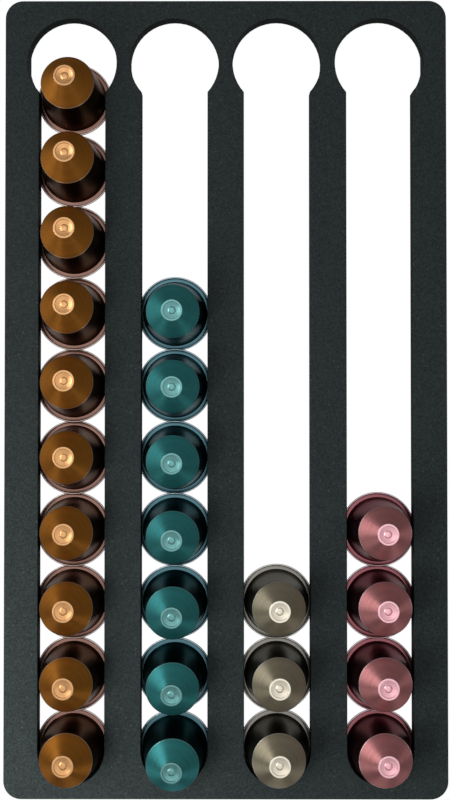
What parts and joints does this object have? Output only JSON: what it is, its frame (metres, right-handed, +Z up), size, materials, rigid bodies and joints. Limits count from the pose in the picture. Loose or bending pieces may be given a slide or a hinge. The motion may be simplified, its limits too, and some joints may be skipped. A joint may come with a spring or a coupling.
{
  "type": "coffee capsule holder",
  "caption": "Wall board with keyhole slots on spacer rails; coffee capsules go in at the round mouths and stack in the slots by their flanges, noses outwards, leaning a little with their rims overlapped.",
  "frame": {"origin": "on the wall plane, at the middle of the board's width and height, on the centre rail's back", "axes": "+X to the right seen from the front, +Y into the wall, +Z up; the front faces -Y"},
  "size_m": [0.224, 0.0344, 0.404],
  "materials": {
    "black_board": "matt",
    "black_rail": "matt",
    "screw_steel": "zinc",
    "hanger_steel": "satin",
    "lid_foil": "satin foil",
    "copper_aluminium": "anodised",
    "teal_aluminium": "anodised",
    "champagne_aluminium": "anodised",
    "rose_aluminium": "anodised"
  },
  "bodies": {
    "holder": {"front_panel": "black_board", "rail_left": "black_rail", "rail_inner_left": "black_rail", "rail_centre": "black_rail", "rail_inner_right": "black_rail", "rail_right": "black_rail", "rail_screws": "screw_steel", "hanger_left": "hanger_steel", "hanger_right": "hanger_steel", "hanger_screws": "screw_steel"},
    "copper_capsule_01": {"copper_cup_01": "copper_aluminium", "copper_lid_01": "lid_foil"},
    "copper_capsule_02": {"copper_cup_02": "copper_aluminium", "copper_lid_02": "lid_foil"},
    "copper_capsule_03": {"copper_cup_03": "copper_aluminium", "copper_lid_03": "lid_foil"},
    "copper_capsule_04": {"copper_cup_04": "copper_aluminium", "copper_lid_04": "lid_foil"},
    "copper_capsule_05": {"copper_cup_05": "copper_aluminium", "copper_lid_05": "lid_foil"},
    "copper_capsule_06": {"copper_cup_06": "copper_aluminium", "copper_lid_06": "lid_foil"},
    "copper_capsule_07": {"copper_cup_07": "copper_aluminium", "copper_lid_07": "lid_foil"},
    "copper_capsule_08": {"copper_cup_08": "copper_aluminium", "copper_lid_08": "lid_foil"},
    "copper_capsule_09": {"copper_cup_09": "copper_aluminium", "copper_lid_09": "lid_foil"},
    "copper_capsule_10": {"copper_cup_10": "copper_aluminium", "copper_lid_10": "lid_foil"},
    "teal_capsule_01": {"teal_cup_01": "teal_aluminium", "teal_lid_01": "lid_foil"},
    "teal_capsule_02": {"teal_cup_02": "teal_aluminium", "teal_lid_02": "lid_foil"},
    "teal_capsule_03": {"teal_cup_03": "teal_aluminium", "teal_lid_03": "lid_foil"},
    "teal_capsule_04": {"teal_cup_04": "teal_aluminium", "teal_lid_04": "lid_foil"},
    "teal_capsule_05": {"teal_cup_05": "teal_aluminium", "teal_lid_05": "lid_foil"},
    "teal_capsule_06": {"teal_cup_06": "teal_aluminium", "teal_lid_06": "lid_foil"},
    "teal_capsule_07": {"teal_cup_07": "teal_aluminium", "teal_lid_07": "lid_foil"},
    "champagne_capsule_01": {"champagne_cup_01": "champagne_aluminium", "champagne_lid_01": "lid_foil"},
    "champagne_capsule_02": {"champagne_cup_02": "champagne_aluminium", "champagne_lid_02": "lid_foil"},
    "champagne_capsule_03": {"champagne_cup_03": "champagne_aluminium", "champagne_lid_03": "lid_foil"},
    "rose_capsule_01": {"rose_cup_01": "rose_aluminium", "rose_lid_01": "lid_foil"},
    "rose_capsule_02": {"rose_cup_02": "rose_aluminium", "rose_lid_02": "lid_foil"},
    "rose_capsule_03": {"rose_cup_03": "rose_aluminium", "rose_lid_03": "lid_foil"},
    "rose_capsule_04": {"rose_cup_04": "rose_aluminium", "rose_lid_04": "lid_foil"}
  },
  "joints": [
    {"name": "copper_slide_01", "type": "slide", "parent": "holder", "child": "copper_capsule_01", "axis": [0, 0, 1], "range_m": [0, 0.00094]},
    {"name": "copper_slide_02", "type": "slide", "parent": "copper_capsule_01", "child": "copper_capsule_02", "axis": [0, 0, 1], "range_m": [0, 0.00094]},
    {"name": "copper_slide_03", "type": "slide", "parent": "copper_capsule_02", "child": "copper_capsule_03", "axis": [0, 0, 1], "range_m": [0, 0.00094]},
    {"name": "copper_slide_04", "type": "slide", "parent": "copper_capsule_03", "child": "copper_capsule_04", "axis": [0, 0, 1], "range_m": [0, 0.00094]},
    {"name": "copper_slide_05", "type": "slide", "parent": "copper_capsule_04", "child": "copper_capsule_05", "axis": [0, 0, 1], "range_m": [0, 0.00094]},
    {"name": "copper_slide_06", "type": "slide", "parent": "copper_capsule_05", "child": "copper_capsule_06", "axis": [0, 0, 1], "range_m": [0, 0.00094]},
    {"name": "copper_slide_07", "type": "slide", "parent": "copper_capsule_06", "child": "copper_capsule_07", "axis": [0, 0, 1], "range_m": [0, 0.00094]},
    {"name": "copper_slide_08", "type": "slide", "parent": "copper_capsule_07", "child": "copper_capsule_08", "axis": [0, 0, 1], "range_m": [0, 0.00094]},
    {"name": "copper_slide_09", "type": "slide", "parent": "copper_capsule_08", "child": "copper_capsule_09", "axis": [0, 0, 1], "range_m": [0, 0.00094]},
    {"name": "copper_slide_10", "type": "slide", "parent": "copper_capsule_09", "child": "copper_capsule_10", "axis": [0, 0, 1], "range_m": [0, 0.01355]},
    {"name": "teal_slide_01", "type": "slide", "parent": "holder", "child": "teal_capsule_01", "axis": [0, 0, 1], "range_m": [0, 0.00141]},
    {"name": "teal_slide_02", "type": "slide", "parent": "teal_capsule_01", "child": "teal_capsule_02", "axis": [0, 0, 1], "range_m": [0, 0.00141]},
    {"name": "teal_slide_03", "type": "slide", "parent": "teal_capsule_02", "child": "teal_capsule_03", "axis": [0, 0, 1], "range_m": [0, 0.00141]},
    {"name": "teal_slide_04", "type": "slide", "parent": "teal_capsule_03", "child": "teal_capsule_04", "axis": [0, 0, 1], "range_m": [0, 0.00141]},
    {"name": "teal_slide_05", "type": "slide", "parent": "teal_capsule_04", "child": "teal_capsule_05", "axis": [0, 0, 1], "range_m": [0, 0.00141]},
    {"name": "teal_slide_06", "type": "slide", "parent": "teal_capsule_05", "child": "teal_capsule_06", "axis": [0, 0, 1], "range_m": [0, 0.00141]},
    {"name": "teal_slide_07", "type": "slide", "parent": "teal_capsule_06", "child": "teal_capsule_07", "axis": [0, 0, 1], "range_m": [0, 0.12425]},
    {"name": "champagne_slide_01", "type": "slide", "parent": "holder", "child": "champagne_capsule_01", "axis": [0, 0, 1], "range_m": [0, 0.00425]},
    {"name": "champagne_slide_02", "type": "slide", "parent": "champagne_capsule_01", "child": "champagne_capsule_02", "axis": [0, 0, 1], "range_m": [0, 0.00425]},
    {"name": "champagne_slide_03", "type": "slide", "parent": "champagne_capsule_02", "child": "champagne_capsule_03", "axis": [0, 0, 1], "range_m": [0, 0.27185]},
    {"name": "rose_slide_01", "type": "slide", "parent": "holder", "child": "rose_capsule_01", "axis": [0, 0, 1], "range_m": [0, 0.00283]},
    {"name": "rose_slide_02", "type": "slide", "parent": "rose_capsule_01", "child": "rose_capsule_02", "axis": [0, 0, 1], "range_m": [0, 0.00283]},
    {"name": "rose_slide_03", "type": "slide", "parent": "rose_capsule_02", "child": "rose_capsule_03", "axis": [0, 0, 1], "range_m": [0, 0.00283]},
    {"name": "rose_slide_04", "type": "slide", "parent": "rose_capsule_03", "child": "rose_capsule_04", "axis": [0, 0, 1], "range_m": [0, 0.23495]}
  ]
}
